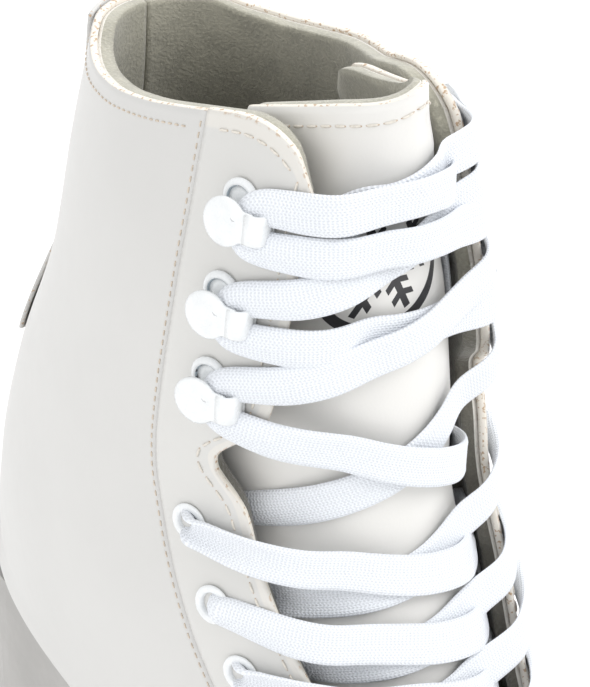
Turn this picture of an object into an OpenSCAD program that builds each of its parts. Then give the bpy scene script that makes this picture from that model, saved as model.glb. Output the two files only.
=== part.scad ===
// Figure skate: laced ankle boot on a moulded sole with a steel blade.
// +X points to the toe, +Z up. The origin is the middle of the ground edge of the runner.

/* [Upper] */
// Thickness of the outer leather
leather_t = 1.8; // [1.2:0.1:2]
// Thickness of the stiffeners at heel and toe
stiffener_t = 0.6; // [0.4:0.1:0.6]
// Depth at which the fleece lining starts, below the outer surface
lining_d = 3.3; // [3.2:0.1:3.6]
// Thickness of the fleece lining
lining_t = 2.1; // [1.5:0.1:2.1]
// Depth at which the tongue starts, below the outer surface
tongue_d = 8.75; // [8.4:0.1:9]
// Thickness of the tongue's outer leather
tongue_t = 1.6; // [1:0.1:2]
// Thickness of the tongue's padded lining
tongue_pad_t = 3; // [2:0.5:4]
// Thickness of the strip up the back of the boot
backstay_t = 1; // [0.6:0.1:1.4]

/* [Lacing] */
// Width of the flat lace
lace_w = 8.5; // [7:0.5:9]
// Thickness of the flat lace
lace_t = 1.5; // [1:0.1:1.6]
// Radius of an eyelet's hole
eyelet_r = 2.5; // [2.4:0.1:2.8]
// Radius of an eyelet's outer flange
eyelet_flange_r = 4.2; // [3.8:0.1:4.6]
// Radius of the rounded head of a lace hook
hook_head_r = 5; // [4.6:0.1:5.6]

/* [Sole] */
// Height of the underside of the heel above the ice
heel_z = 43; // [41:1:46]
// Height of the underside of the forepart above the ice
fore_z = 54; // [52:1:56]
// Width of the ledge that the sole leaves around the upper
ledge_w = 2.2; // [1.5:0.1:3]

/* [Blade] */
// Thickness of the runner
runner_t = 4; // [3.5:0.1:4.5]
// Radius of the rocker at the front and rear of the runner
rocker_r = 2000; // [1600:50:2400]
// Half the length of the level middle of the runner
flat_half = 30; // [20:1:40]
// Thickness of the mounting plates
plate_t = 3; // [2.5:0.1:3.5]
// Radius of the holes in the mounting plates
plate_hole_r = 2.3; // [2.2:0.1:2.6]

/* [Hidden] */
eps = 0.001;

// Section keys, one for each station down the shaft and along the foot.
// The front line, the back line (the edge of the sole from heel_station on) and the half width.
front_x = [39, 38, 39, 43, 54, 66, 80, 98, 117, 138, 156, 166];
front_z = [267, 234, 204, 180, 162, 147, 131, 118, 110, 103, 93, 74];
back_x = [-79, -78, -80, -92, -99, -101, -84, -40, 22, 86, 140, 165];
back_z = [246, 223, 192, 158, 126, 93, 93, 92, 80, 70, 68, 68];
half_w = [28, 35, 39, 41, 43, 42, 42, 42, 46, 47, 37, 8];
heel_station = 5;
toe_station = 10.9;

// Sole outline: half widths between two round ends.
sole_x = [-72, -40, -10, 25, 60, 90, 115];
sole_w = [29.5, 28.5, 28.5, 35, 43, 44, 40.5];
heel_end_r = 29;
toe_end_r = 50;

// Edges of the panels: station, then how far round from the front (0) to the back (1).
edge_u = [-0.4, 0.4, 1, 1.7, 1.95, 2.1, 2.2, 2.35, 2.5, 2.62, 2.8, 3.5, 4.2, 5, 6, 7, 8];
edge_v = [0.27, 0.262, 0.25, 0.25, 0.258, 0.285, 0.31, 0.318, 0.3, 0.274, 0.26, 0.235, 0.21,
    0.185, 0.155, 0.13, 0.12];
seam_u = [-0.4, 0, 0.7, 1.2, 2, 2.5, 3, 3.7, 4.5, 5, 6, 7, 8];
seam_v = [0.445, 0.437, 0.417, 0.409, 0.404, 0.393, 0.369, 0.347, 0.324, 0.31, 0.28, 0.26, 0.25];
collar_v = [0.2, 0.265, 0.283, 0.32, 0.37, 0.44, 0.48, 0.54, 0.62, 0.7, 0.78, 0.84, 1];
collar_u = [0.5, 0.36, 0.09, -0.07, -0.13, -0.04, 0.02, 0.12, 0.23, 0.28, 0.25, 0.15, 0.17];
stay_u = [-0.4, 0.3, 1, 2, 2.6, 2.9, 3.1, 3.25];
stay_v = [0.18, 0.14, 0.1, 0.11, 0.17, 0.2, 0.17, 0.03];
vamp_seam = 7.5;
vamp_sweep = 0.9;
// How far the lacing presses the left side of the shaft inwards, by station.
press_u = [-0.6, -0.4, -0.1, 0.1, 0.55, 0.9, 1.28, 1.57, 1.85, 2.4];
press_d = [11, 10, 8.8, 7.2, 6, 5, 3, 1.9, 1.2, 0];

// Lacing points: station and distance round from the front.
left_hook_u = [0.37, 1.01, 1.66];
left_hook_v = [0.363, 0.354, 0.347];
right_hook_u = [0.51, 1.15, 1.77];
right_hook_v = [0.325, 0.318, 0.312];
eyelet_u = [2.97, 3.69, 4.34, 4.98, 5.62, 6.26, 6.9];
eyelet_v = [0.333, 0.305, 0.283, 0.264, 0.248, 0.232, 0.216];
hooks = len(left_hook_u);
eyelets = len(eyelet_u);
stack_t = lining_d + lining_t;
stiffener_gap = 0.4;
backstay_gap = 0.55;
bore_gap = 0.05;
lining_ease = 0.5;
barrel_t = 0.5;

white = "#f4f3f0";
leather = "#ececea";
fleece = "#8f8d80";
sole_grey = "#b5b1ae";
lace_white = "#eaf2fc";
board = "#b79a72";
steel = "#c4c8cc";
metal_white = "#e6ecee";

function clamp(x, lo, hi) = min(max(x, lo), hi);
function mix(a, b, t) = a + (b - a) * t;
function ease(t) = let(s = clamp(t, 0, 1)) s * s * (3 - 2 * s);
function unit(v) = v / max(norm(v), eps);

// Smooth curve through evenly spaced keys.
function curve(keys, u) =
    let(n = len(keys), i = clamp(floor(u), 0, n - 2), t = u - i)
    let(b = keys[i], c = keys[i + 1])
    let(a = i > 0 ? keys[i - 1] : 2 * b - c, d = i + 2 < n ? keys[i + 2] : 2 * c - b)
    0.5 * (2 * b + (c - a) * t + (2 * a - 5 * b + 4 * c - d) * t * t
    + (3 * b - a - 3 * c + d) * t * t * t);

// Half width of the sole at x, and the height of the edge where upper and sole meet.
function place_in(keys, x, i = 0) = i >= len(keys) - 2 || x < keys[i + 1]
    ? i + (clamp(x, keys[0], keys[len(keys) - 1]) - keys[i]) / (keys[i + 1] - keys[i])
    : place_in(keys, x, i + 1);
function round_end(x, r) = sqrt(max(1 - pow(max(x, 0) / r, 2), 0));
function sole_half(x) = x < sole_x[0] ? sole_w[0] * round_end(sole_x[0] - x, heel_end_r)
    : x > sole_x[6] ? sole_w[6] * round_end(x - sole_x[6], toe_end_r)
    : curve(sole_w, place_in(sole_x, x));
function sole_edge_z(x) = 93 - 27 * ease((x + 55) / 75) + 6 * pow(max(x - 60, 0) / 100, 2);

function press(u, m) = m < -0.25 ? 0 : ease((m + 0.25) / 0.3) * ease((0.62 - m) / 0.18)
    * lookup(u, [for (i = [0:len(press_u) - 1]) [press_u[i], press_d[i]]]);

// A point of the boot: station u, distance v round from front to back, side and depth.
function skin(u, v, side, depth) =
    let(d = depth + press(u, v * side))
    let(in_foot = u > heel_station)
    let(gx = curve(back_x, u))
    let(gz = in_foot ? sole_edge_z(gx) : curve(back_z, u))
    let(gy = in_foot ? sole_half(gx) : 0)
    let(front = [curve(front_x, u), curve(front_z, u)], back = [gx, gz])
    let(along = unit(back - front))
    let(f = front + along * d, g = in_foot ? back : back - along * d)
    let(w_out = max(curve(half_w, u), gy * 1.03 + eps), w = max(w_out - d, 0.5))
    let(e = max(gy - d, 0))
    let(turn = 180 - asin(clamp(e / w, 0, 1)))
    let(t = (1 - cos(turn * v)) / (1 - cos(turn)))
    [mix(f[0], g[0], t), side * w * sin(turn * v), mix(f[1], g[1], t)];

function skin_m(u, m, d) = skin(u, abs(m), m < 0 ? -1 : 1, d);
function edge_at(u) = lookup(u, [for (i = [0:len(edge_u) - 1]) [edge_u[i], edge_v[i]]]);
function seam_at(u) = lookup(u, [for (i = [0:len(seam_u) - 1]) [seam_u[i], seam_v[i]]]);
function collar_at(v) = lookup(v, [for (i = [0:len(collar_v) - 1]) [collar_v[i], collar_u[i]]]);
function stay_at(u) = lookup(u, [for (i = [0:len(stay_u) - 1]) [stay_u[i], stay_v[i]]]);
function vamp_at(v) = vamp_seam - vamp_sweep * v;

// A sheet with two faces: f(a, b, k) gives a point for a, b in 0..1, outside k = 0, inside k = 1.
module sheet(f, na, nb, flip = false) {
    row = nb + 1;
    face = (na + 1) * row;
    points = [for (k = [0, 1]) for (i = [0:na]) for (j = [0:nb]) f(i / na, j / nb, k)];
    outer = [for (i = [0:na - 1]) for (j = [0:nb - 1])
        let(p = i * row + j) each [[p, p + 1, p + row], [p + 1, p + row + 1, p + row]]];
    inner = [for (t = outer) [t[0] + face, t[2] + face, t[1] + face]];
    rim = concat([for (j = [0:nb]) j], [for (i = [1:na]) i * row + nb],
        [for (j = [1:nb]) na * row + nb - j], [for (i = [1:na - 1]) (na - i) * row]);
    count = len(rim);
    wall = [for (i = [0:count - 1]) let(p = rim[i], q = rim[(i + 1) % count])
        each [[p, p + face, q + face], [p, q + face, q]]];
    faces = concat(outer, inner, wall);
    polyhedron(points, flip ? [for (t = faces) [t[0], t[2], t[1]]] : faces);
}

// A tube through rings of points, closed at both ends.
module tube(rings) {
    n = len(rings[0]);
    last = len(rings) - 1;
    polyhedron([for (r = rings) each r], concat([[for (j = [0:n - 1]) j]],
        [for (i = [0:last - 1]) for (j = [0:n - 1]) let(p = i * n + j, q = i * n + (j + 1) % n)
            each [[p, p + n, q], [q, p + n, q + n]]],
        [[for (j = [0:n - 1]) last * n + n - 1 - j]]));
}

// Panels of the upper.
module quarter(side) color(leather) sheet(function (a, b, k)
    let(u = mix(collar_at(mix(0.44, 1, b)), vamp_at(mix(0.44, 1, b)), a))
    let(v = mix(seam_at(u) + 0.004, 0.9985, b))
    skin(u, v, side, k * leather_t), 32, 12, side > 0);

module facing(side) color(white) difference() {
    sheet(function (a, b, k)
        let(u = mix(collar_at(mix(0.27, 0.43, b)), vamp_at(mix(0.13, 0.25, b)), a))
        let(v = mix(edge_at(u), seam_at(u) - 0.004, b))
        skin(u, v, side, k * leather_t), 48, 5, side > 0);
    eyelet_holes(side);
}

module vamp() color(leather) sheet(function (a, b, k)
    let(m = mix(-1, 1, b))
    let(u = mix(vamp_at(abs(m)) + 0.03, toe_station, a))
    skin_m(u, m, k * leather_t), 14, 24, true);

module lining(side) color(fleece) difference() {
    sheet(function (a, b, k)
        let(u = mix(collar_at(mix(0.27, 1, b)) + 0.03, vamp_at(mix(0.13, 1, b)) - 0.02, a))
        let(v = mix(edge_at(u) + 0.006, 0.997, b))
        skin(u, v, side, lining_d + k * lining_t), 32, 12, side > 0);
    eyelet_holes(side, lining_ease);
}

module vamp_lining() color(fleece) sheet(function (a, b, k)
    let(m = mix(-0.985, 0.985, b))
    let(u = mix(vamp_at(abs(m)) + 0.03, toe_station - 0.15, a))
    skin_m(u, m, lining_d + k * lining_t), 12, 18, true);

module heel_counter() color(board) sheet(function (a, b, k)
    let(w = mix(-1, 1, b), u = mix(2.6, heel_station - 0.2, a))
    let(reach = mix(0.3, 0.42, a))
    skin(u, 1 - reach * abs(w), w < 0 ? -1 : 1, leather_t + stiffener_gap + k * stiffener_t), 14, 16);

module toe_stiffener() color(board) sheet(function (a, b, k)
    let(m = mix(-0.97, 0.97, b), u = mix(8.7, toe_station - 0.1, a))
    skin_m(u, m, leather_t + stiffener_gap + k * stiffener_t), 10, 24, true);

module backstay() color(white) sheet(function (a, b, k)
    let(w = mix(-1, 1, b), u = mix(collar_at(1) - 0.02, stay_u[7], a))
    skin(u, 1 - stay_at(u) * abs(w), w < 0 ? -1 : 1, -backstay_gap - (1 - k) * backstay_t), 26, 10);

// Tongue, hinged where it is sewn in under the vamp. Its top leans back into the shaft, more so on
// the left, where its wide edge stands away from the lining.
tongue_m = [-0.45, -0.396, -0.316, -0.25, -0.18, -0.08, 0.05, 0.17, 0.32, 0.43, 0.48, 0.53];
tongue_u = [0.05, -0.05, -0.17, -0.25, -0.3, -0.38, -0.36, -0.25, -0.13, -0.05, 0.08, 0.4];
tongue_root = 7.3;
function tongue_top(m) = lookup(m, [for (i = [0:len(tongue_m) - 1]) [tongue_m[i], tongue_u[i]]]);
function tongue_sink(u) = 2 * ease((u - 4) / 2);
function tongue_reach(u, side) = side < 0 ? mix(0.42, 0.25, ease((u - 1) / 5))
    : mix(0.53, 0.25, ease((u + 0.3) / 5));
module tongue_sheet(d0, d1, trim) sheet(function (a, b, k)
    let(w = mix(-1, 1, b))
    let(u = mix(tongue_top(w * tongue_reach(0, w)) + trim, tongue_root, a))
    let(m = w * (tongue_reach(u, w) - trim / 2))
    skin_m(u, m, mix(d0, d1, k) + tongue_sink(u)), 24, 18, true);
module tongue() color(white) tongue_sheet(tongue_d, tongue_d + tongue_t, 0);
module tongue_lining() color(fleece)
    tongue_sheet(tongue_d + tongue_t + 0.1, tongue_d + tongue_t + 0.1 + tongue_pad_t, 0.01);

// A board that follows the sole's outline, from x0 to x1, between two heights over the edge.
module board(inset, z0, z1, x0, x1, rows, width = 100) sheet(function (a, b, k)
    let(x = mix(x0, x1, 0.5 - 0.5 * cos(180 * a)))
    let(w = min(max(sole_half(x) - inset, 1), width))
    [x, mix(-w, w, b), sole_edge_z(x) + (k == 0 ? z1 : z0)], rows, 2, true);

module lasting_board() color(board) board(6, 0.1, 2.1, -94, 157, 30);
module shank() color(steel) board(6, 2.6, 3.2, -70, 20, 26, 6);
module footbed() color(fleece) board(8, 3.7, 7, -92, 155, 30);

// Moulded sole: a ledge round the upper, a tall heel, a waist and a forepart.
function sole_under(x) = let(fore = fore_z + 8 * pow(max(x - 90, 0) / 75, 2))
    x < -40 ? heel_z : mix(sole_edge_z(x) - 9, fore, ease((x + 20) / 50));
function sole_taper(x) = x < -40 ? 3.5 : 1;
module sole_unit() color(sole_grey) sheet(function (a, b, k)
    let(x0 = mix(-103, 167, a), snap = abs(x0 + 40) < 3 ? (x0 < -40 ? -40.4 : -39.2) : x0)
    let(end = clamp(min(snap + 103, 167 - snap) / 20, 0, 1))
    let(w_top = max(sole_half(clamp(snap, -100.5, 164.5)), 2) + ledge_w)
    let(w = k == 0 ? w_top : max(w_top - sole_taper(snap), 1))
    let(push = k == 1 && snap < -72 ? 2 * (-72 - snap) / 31 : 0)
    [snap + push, mix(-w, w, b), k == 0 ? sole_edge_z(snap) - 0.4 : sole_under(snap)], 60, 4, true);

// Metal on the facings. The frame's z points out of the leather and its x to the front edge.
module on_skin(u, v, side) {
    o = skin(u, v, side, 0);
    x = unit(skin(u, v - 0.02, side, 0) - skin(u, v + 0.02, side, 0));
    y0 = unit(skin(u - 0.05, v, side, 0) - skin(u + 0.05, v, side, 0));
    z0 = unit(cross(x, y0));
    out = z0[1] * side < 0 ? -z0 : z0;
    y = cross(out, x);
    multmatrix([[x[0], y[0], out[0], o[0]], [x[1], y[1], out[1], o[1]],
        [x[2], y[2], out[2], o[2]], [0, 0, 0, 1]]) children();
}

module eyelet_holes(side, more = 0)
    for (i = [0:eyelets - 1])
        on_skin(eyelet_u[i], eyelet_v[i], side)
            translate([0, 0, -stack_t - 3]) cylinder(h = stack_t + 6,
                r = (eyelet_r + barrel_t + bore_gap + more) / cos(180 / 14), $fn = 14);

module eyelet() rotate_extrude($fn = 32) polygon([[eyelet_r, -stack_t - 0.7],
    [eyelet_flange_r - 0.3, -stack_t - 0.7], [eyelet_flange_r - 0.3, -stack_t - 0.2],
    [eyelet_r + barrel_t, -stack_t - 0.2], [eyelet_r + barrel_t, 0.3], [eyelet_flange_r, 0.3],
    [eyelet_flange_r - 0.1, 0.7], [eyelet_r + 0.9, 1.1], [eyelet_r, 0.7]]);

module eyelets(side) color(metal_white)
    for (i = [0:eyelets - 1])
        on_skin(eyelet_u[i], eyelet_v[i], side) eyelet();

function hook_u(i, side) = side < 0 ? right_hook_u[i] : left_hook_u[i];
function hook_v(i, side) = side < 0 ? right_hook_v[i] : left_hook_v[i];
// A hook: a riveted base, a stem at its front end and a head that reaches back over the base.
module hook(up) {
    head_z = 4.3;
    head_t = 1.1;
    base_t = 0.8;
    rivet = [-3.9, up * 3.4, 0];
    translate(rivet + [0, 0, 0.1]) cylinder(h = base_t, r = 4.2, $fn = 32);
    translate([0, 0, 0.1]) linear_extrude(height = base_t) hull() {
        translate([rivet[0], rivet[1]]) circle(r = 2.6, $fn = 24);
        translate([3.2, -2.6]) square([1.2, 5.2]);
    }
    translate(rivet - [0, 0, stack_t + 0.9]) cylinder(h = stack_t + 1.2, r = 1.7, $fn = 32);
    translate(rivet - [0, 0, stack_t + 1.2]) cylinder(h = 0.8, r = 3.6, $fn = 32);
    translate([3.2, -2.6, 0.3]) cube([1.2, 5.2, head_z - 0.3 + head_t]);
    translate([-4, 0, head_z]) cylinder(h = head_t, r = hook_head_r, $fn = 48);
    translate([-3, -3.1, head_z]) cube([7.4, 6.2, head_t]);
}
module hook_at(i, side) color(metal_white) on_skin(hook_u(i, side), hook_v(i, side), side) hook(-side);

// Lace: each half zigzags down the front; a straight bar joins the halves at the toe end.
// A stop is [station, signed distance, depth, width, 1 inside an eyelet's bore].
run_over = -1.7;
run_under = 7.3;
cross_high = 4.5;
cross_low = 6.6;
bore_w = 4.2;
squeeze = 1.4;
hook_half = 0.13;
hook_bow = 0.12;
function depth_at(u, m, centre, side_d) =
    mix(centre, side_d, ease((abs(m) - edge_at(u) + 0.14) / 0.13));
function crossing(side, u0, v0, u1, v1, centre, start_d, end_d, bow = 0) =
    [for (t = [0.1, 0.2, 0.3, 0.4, 0.5, 0.6, 0.7, 0.8, 0.9])
        let(u = mix(u0, u1, t) - 4 * bow * t * (1 - t), m = side * mix(v0, -v1, t))
        [u, m, depth_at(u, m, centre, m * side > 0 ? start_d : end_d), lace_w, 0]];
function hook_wrap(i, side) = [
    [hook_u(i, side) - hook_half, side * (hook_v(i, side) + 0.01), run_over - 1, 6.4, 0],
    [hook_u(i, side), side * (hook_v(i, side) + 0.018), run_over - 1, 5, 0],
    [hook_u(i, side) + hook_half, side * (hook_v(i, side) + 0.01), run_over - 1, 6.4, 0]];
function under(u) = run_under + 1.2 * ease((u - 4) / 1.5);
function eyelet_pass(j, side) = [
    [eyelet_u[j], side * (eyelet_v[j] - 0.018), under(eyelet_u[j]), 6, 0],
    [eyelet_u[j], side * (eyelet_v[j] - 0.001), under(eyelet_u[j]), 5, 0],
    [eyelet_u[j], side * eyelet_v[j], 2.4, bore_w, 1],
    [eyelet_u[j], side * (eyelet_v[j] - 0.001), run_over - 0.4, 5, 0],
    [eyelet_u[j] + 0.02, side * (eyelet_v[j] - 0.02), run_over, 6.5, 0]];
function over_left(side) = side < 0 ? cross_high : cross_low;
function tail(side) = [[1.6, -side * 0.31, run_under, lace_w, 0],
    [1.2, -side * 0.3, run_under, lace_w, 0], [0.75, -side * 0.275, run_under, lace_w, 0]];
function half_stops(side) = concat(tail(side),
    crossing(-side, 0.45, 0.25, hook_u(0, side) - hook_half, hook_v(0, side) + 0.01,
        over_left(side), run_under, run_over, hook_bow),
    [for (i = [0:hooks - 2]) let(s = i % 2 == 0 ? side : -side)
        each concat(hook_wrap(i, s), crossing(s, hook_u(i, s) + hook_half, hook_v(i, s) + 0.01,
            hook_u(i + 1, -s) - hook_half, hook_v(i + 1, -s) + 0.01, over_left(side), run_over,
            run_over, hook_bow))],
    hook_wrap(hooks - 1, side),
    crossing(side, hook_u(2, side) + hook_half, hook_v(2, side) + 0.01, eyelet_u[0],
        eyelet_v[0] - 0.03, over_left(side), run_over, run_under, hook_bow),
    eyelet_pass(0, -side),
    [for (j = [1:eyelets - 1]) let(s = (j % 2 == 1) ? -side : side)
        each concat(crossing(s, eyelet_u[j - 1] + 0.02, eyelet_v[j - 1] - 0.02, eyelet_u[j],
            eyelet_v[j] - 0.03, over_left(s), run_over, under(eyelet_u[j])), eyelet_pass(j, -s))]);
bar_stops = [for (m = [0.18, 0.14, 0.1, 0.06, 0.02, -0.02, -0.06, -0.1, -0.14, -0.18])
    [eyelet_u[eyelets - 1] + 0.12, m, mix(3.4, run_over, ease(abs(m) / 0.1)), lace_w, 0]];
right_half = half_stops(-1);
left_half = half_stops(1);
stops = concat(right_half, bar_stops, [for (i = [len(left_half) - 1:-1:0]) left_half[i]]);
last_stop = len(stops) - 1;
route = [for (s = stops) route_at(s)];
// The face that looks outwards changes at every eyelet.
passes = [for (i = 0, c = 0; i <= last_stop; c = c + stops[i][4], i = i + 1) c];
function out_of(s) =
    let(down = skin_m(s[0] + 0.04, s[1], s[2]) - skin_m(s[0] - 0.04, s[1], s[2]))
    let(over = skin_m(s[0], s[1] + 0.01, s[2]) - skin_m(s[0], s[1] - 0.01, s[2]))
    let(n = unit(cross(down, over)))
    n * (n * (skin_m(s[0], s[1], s[2] - 1) - route_at(s)) < 0 ? -1 : 1);
function route_at(s) = skin_m(s[0], s[1], s[2]);
function ahead_of(s) = unit(skin_m(s[0], s[1] * 0.98, s[2]) - skin_m(s[0], s[1] * 1.02, s[2]));
function heading(i) = unit(route[min(i + 1, last_stop)] - route[max(i - 1, 0)]);
function ring(p, along, out, w, t) =
    let(x = unit(cross(along, out)), z = unit(cross(x, along)))
    [for (k = [0:7]) let(c = cos(45 * k + 22.5), s = sin(45 * k + 22.5))
        p + x * (w / 2) * c / cos(22.5) + z * (t / 2) * s / sin(67.5)];
module lace() color(lace_white) tube([for (i = [0:last_stop])
    let(s = stops[i], along = heading(i), out = out_of(s), turned = passes[i] % 2 == 0 ? 1 : -1)
    let(face = s[4] == 1 ? ahead_of(s) * (along * out < 0 ? -1 : 1) : out)
    ring(route[i], along, face * turned, s[3], lace_t * min(squeeze, lace_w / s[3]))]);

// Tips on the two ends, which are tucked in beside the tongue.
module aglets() color(lace_white)
    for (i = [0, last_stop])
        let(back = i == 0 ? 1 : -1, out = out_of(stops[i]), p = route[i] - out * 0.38)
        let(dir = unit(route[i] - route[i + back]))
            tube([for (t = [0.1, 11]) ring(p + dir * t, dir, out, 3.4, 1.6)]);

// Steel blade: runner with stanchions, and two plates screwed to the sole.
function rocker(x) = pow(max(abs(x) - flat_half, 0), 2) / (2 * rocker_r);
tail_x = -128;
nose_x = 146;
heel_top = heel_z - plate_t - 0.1;
fore_top = fore_z - plate_t - 0.1;
module runner_outline() difference() {
    union() {
        polygon(concat([for (i = [0:30]) let(x = mix(tail_x, 128, i / 30)) [x, rocker(x)]],
            [[131, 8], [134.5, 6.5], [136, 12], [140, 11], [140.5, 17], [145, 17], [nose_x, 24],
                [138, 30], [126, 26], [116, 17], [tail_x + 6, 17], [tail_x, 11]]));
        polygon([[-104, heel_top], [-97, 16], [-57, 16], [-50, heel_top]]);
        polygon([[40, fore_top], [60, 16], [128, 16], [140, 28], [126, fore_top]]);
    }
    translate([-77, 22]) hull() {
        translate([-6, 0]) circle(r = 4, $fn = 32);
        translate([6, 0]) circle(r = 4, $fn = 32);
        translate([0, 8]) circle(r = 4, $fn = 32);
    }
    translate([88, 24]) hull() {
        translate([-16, 0]) circle(r = 5, $fn = 32);
        translate([16, 0]) circle(r = 5, $fn = 32);
        translate([10, 16]) circle(r = 5, $fn = 32);
        translate([-20, 16]) circle(r = 5, $fn = 32);
    }
}
module runner() color(steel) rotate([90, 0, 0]) translate([0, 0, -runner_t / 2])
    linear_extrude(height = runner_t) runner_outline();

heel_screw_at = [[-89, 8], [-89, -8], [-60, 14], [-60, -14]];
sole_screw_at = [[48, 16], [48, -16], [78, 22], [78, -22], [108, 20], [108, -20], [62, 10],
    [62, -10]];
module plate(at, top_z, ends) color(steel) translate([0, 0, top_z - plate_t])
    linear_extrude(height = plate_t) difference() {
        hull()
            for (e = ends)
                translate([e[0], e[1]]) circle(r = e[2], $fn = 48);
        for (p = at)
            translate([p[0], p[1]]) circle(r = plate_hole_r, $fn = 32);
    }
module heel_plate() plate(heel_screw_at, heel_z - 0.05, [[-82, 0, 17], [-82, 8, 13],
    [-82, -8, 13], [-58, 8, 13], [-58, -8, 13]]);
module sole_plate() plate(sole_screw_at, fore_z - 0.05, [[50, 14, 11], [50, -14, 11], [76, 20, 12],
    [76, -20, 12], [112, 14, 14], [112, -14, 14]]);

module screw(length) {
    translate([0, 0, -1.6]) cylinder(h = 1.5, r = 3.8, $fn = 32);
    translate([0, 0, -0.2]) cylinder(h = length + 0.2, r = 2, $fn = 32);
}
module screws(at, z) color(steel)
    for (p = at)
        translate([p[0], p[1], z - plate_t]) screw(12);
module heel_screws() screws(heel_screw_at, heel_z);
module sole_screws() screws(sole_screw_at, fore_z);

quarter(-1);  // quarter_right
quarter(1);  // quarter_left
facing(-1);  // facing_right
facing(1);  // facing_left
vamp();
backstay();
heel_counter();
toe_stiffener();
lining(-1);  // lining_right
lining(1);  // lining_left
vamp_lining();
tongue();
tongue_lining();
lasting_board();
shank();
footbed();
sole_unit();
eyelets(-1);  // eyelets_right
eyelets(1);  // eyelets_left
hook_at(0, -1);  // hook_1_right
hook_at(1, -1);  // hook_2_right
hook_at(2, -1);  // hook_3_right
hook_at(0, 1);  // hook_1_left
hook_at(1, 1);  // hook_2_left
hook_at(2, 1);  // hook_3_left
lace();
aglets();
runner();
sole_plate();
heel_plate();
sole_screws();
heel_screws();
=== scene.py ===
import bpy
import numpy as np
from bpy.props import FloatProperty, FloatVectorProperty, IntProperty, PointerProperty
from mathutils import Matrix, Vector


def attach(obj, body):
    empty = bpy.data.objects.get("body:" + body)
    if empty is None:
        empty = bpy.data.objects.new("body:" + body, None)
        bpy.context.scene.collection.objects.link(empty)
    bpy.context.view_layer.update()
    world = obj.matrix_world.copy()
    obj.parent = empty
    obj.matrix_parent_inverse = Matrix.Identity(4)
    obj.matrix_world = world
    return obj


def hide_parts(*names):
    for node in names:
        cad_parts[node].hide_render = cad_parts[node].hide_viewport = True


bl_info = {
    "name": "Laced Figure Skate",
    "version": (1, 0, 0),
    "blender": (4, 5, 0),
    "location": "View3D > Sidebar > Skate",
    "description": "Builds the leather, fleece, lace, metal and sole of a laced figure skate",
    "category": "Add Mesh",
}

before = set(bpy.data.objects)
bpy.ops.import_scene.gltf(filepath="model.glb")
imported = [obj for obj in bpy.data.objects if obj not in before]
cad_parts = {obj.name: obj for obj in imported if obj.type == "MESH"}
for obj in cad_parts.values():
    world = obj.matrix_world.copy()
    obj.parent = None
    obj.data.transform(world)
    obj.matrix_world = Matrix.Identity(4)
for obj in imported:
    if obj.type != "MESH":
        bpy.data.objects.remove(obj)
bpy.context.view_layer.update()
MM = 0.001
SIDES = {"right": -1, "left": 1}

# ---------------------------------------------------------------- the shape of the boot
# Section keys in millimetres, one for each station down the shaft and along the foot, as in the part.
FRONT_X = [39, 38, 39, 43, 54, 66, 80, 98, 117, 138, 156, 166]
FRONT_Z = [267, 234, 204, 180, 162, 147, 131, 118, 110, 103, 93, 74]
BACK_X = [-79, -78, -80, -92, -99, -101, -84, -40, 22, 86, 140, 165]
BACK_Z = [246, 223, 192, 158, 126, 93, 93, 92, 80, 70, 68, 68]
HALF_W = [28, 35, 39, 41, 43, 42, 42, 42, 46, 47, 37, 8]
HEEL_STATION = 5
TOE_STATION = 10.9
SOLE_X = [-72, -40, -10, 25, 60, 90, 115]
SOLE_W = [29.5, 28.5, 28.5, 35, 43, 44, 40.5]
HEEL_END_R = 29
TOE_END_R = 50

# Edges of the panels: station, then how far round from the front (0) to the back (1).
EDGE_U = [-0.4, 0.4, 1, 1.7, 1.95, 2.1, 2.2, 2.35, 2.5, 2.62, 2.8, 3.5, 4.2, 5, 6, 7, 8]
EDGE_V = [0.27, 0.262, 0.25, 0.25, 0.258, 0.285, 0.31, 0.318, 0.3, 0.274, 0.26, 0.235, 0.21,
          0.185, 0.155, 0.13, 0.12]
SEAM_U = [-0.4, 0, 0.7, 1.2, 2, 2.5, 3, 3.7, 4.5, 5, 6, 7, 8]
SEAM_V = [0.445, 0.437, 0.417, 0.409, 0.404, 0.393, 0.369, 0.347, 0.324, 0.31, 0.28, 0.26, 0.25]
COLLAR_V = [0.2, 0.265, 0.283, 0.32, 0.37, 0.44, 0.48, 0.54, 0.62, 0.7, 0.78, 0.84, 1]
COLLAR_U = [0.5, 0.36, 0.09, -0.07, -0.13, -0.04, 0.02, 0.12, 0.23, 0.28, 0.25, 0.15, 0.17]
STAY_U = [-0.4, 0.3, 1, 2, 2.6, 2.9, 3.1, 3.25]
STAY_V = [0.18, 0.14, 0.1, 0.11, 0.17, 0.2, 0.17, 0.03]
VAMP_SEAM = 7.5
VAMP_SWEEP = 0.9
# How far the lacing presses the left side of the shaft inwards, by station.
PRESS_U = [-0.6, -0.4, -0.1, 0.1, 0.55, 0.9, 1.28, 1.57, 1.85, 2.4]
PRESS_D = [11, 10, 8.8, 7.2, 6, 5, 3, 1.9, 1.2, 0]

HOOK_U = {-1: [0.51, 1.15, 1.77], 1: [0.37, 1.01, 1.66]}
HOOK_V = {-1: [0.325, 0.318, 0.312], 1: [0.363, 0.354, 0.347]}
EYELET_U = [2.97, 3.69, 4.34, 4.98, 5.62, 6.26, 6.9]
EYELET_V = [0.333, 0.305, 0.283, 0.264, 0.248, 0.232, 0.216]

LEATHER_T = 1.8
LINING_D = 3.3
LINING_T = 2.1
STACK_T = LINING_D + LINING_T
TONGUE_D = 8.75
TONGUE_T = 1.6
TONGUE_PAD_T = 3.0
BACKSTAY_T = 1.0
BACKSTAY_GAP = 0.55
LACE_W = 8.5
# The hook's head: its lobe's radius and centre, half the tab's width, its height over the leather.
HEAD_R = 4.9
HEAD_X = -4
TAB_HALF = 3.1
HEAD_Z = 4.3
RIVET_X = -3.9
RIVET_Y = 3.4
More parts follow.
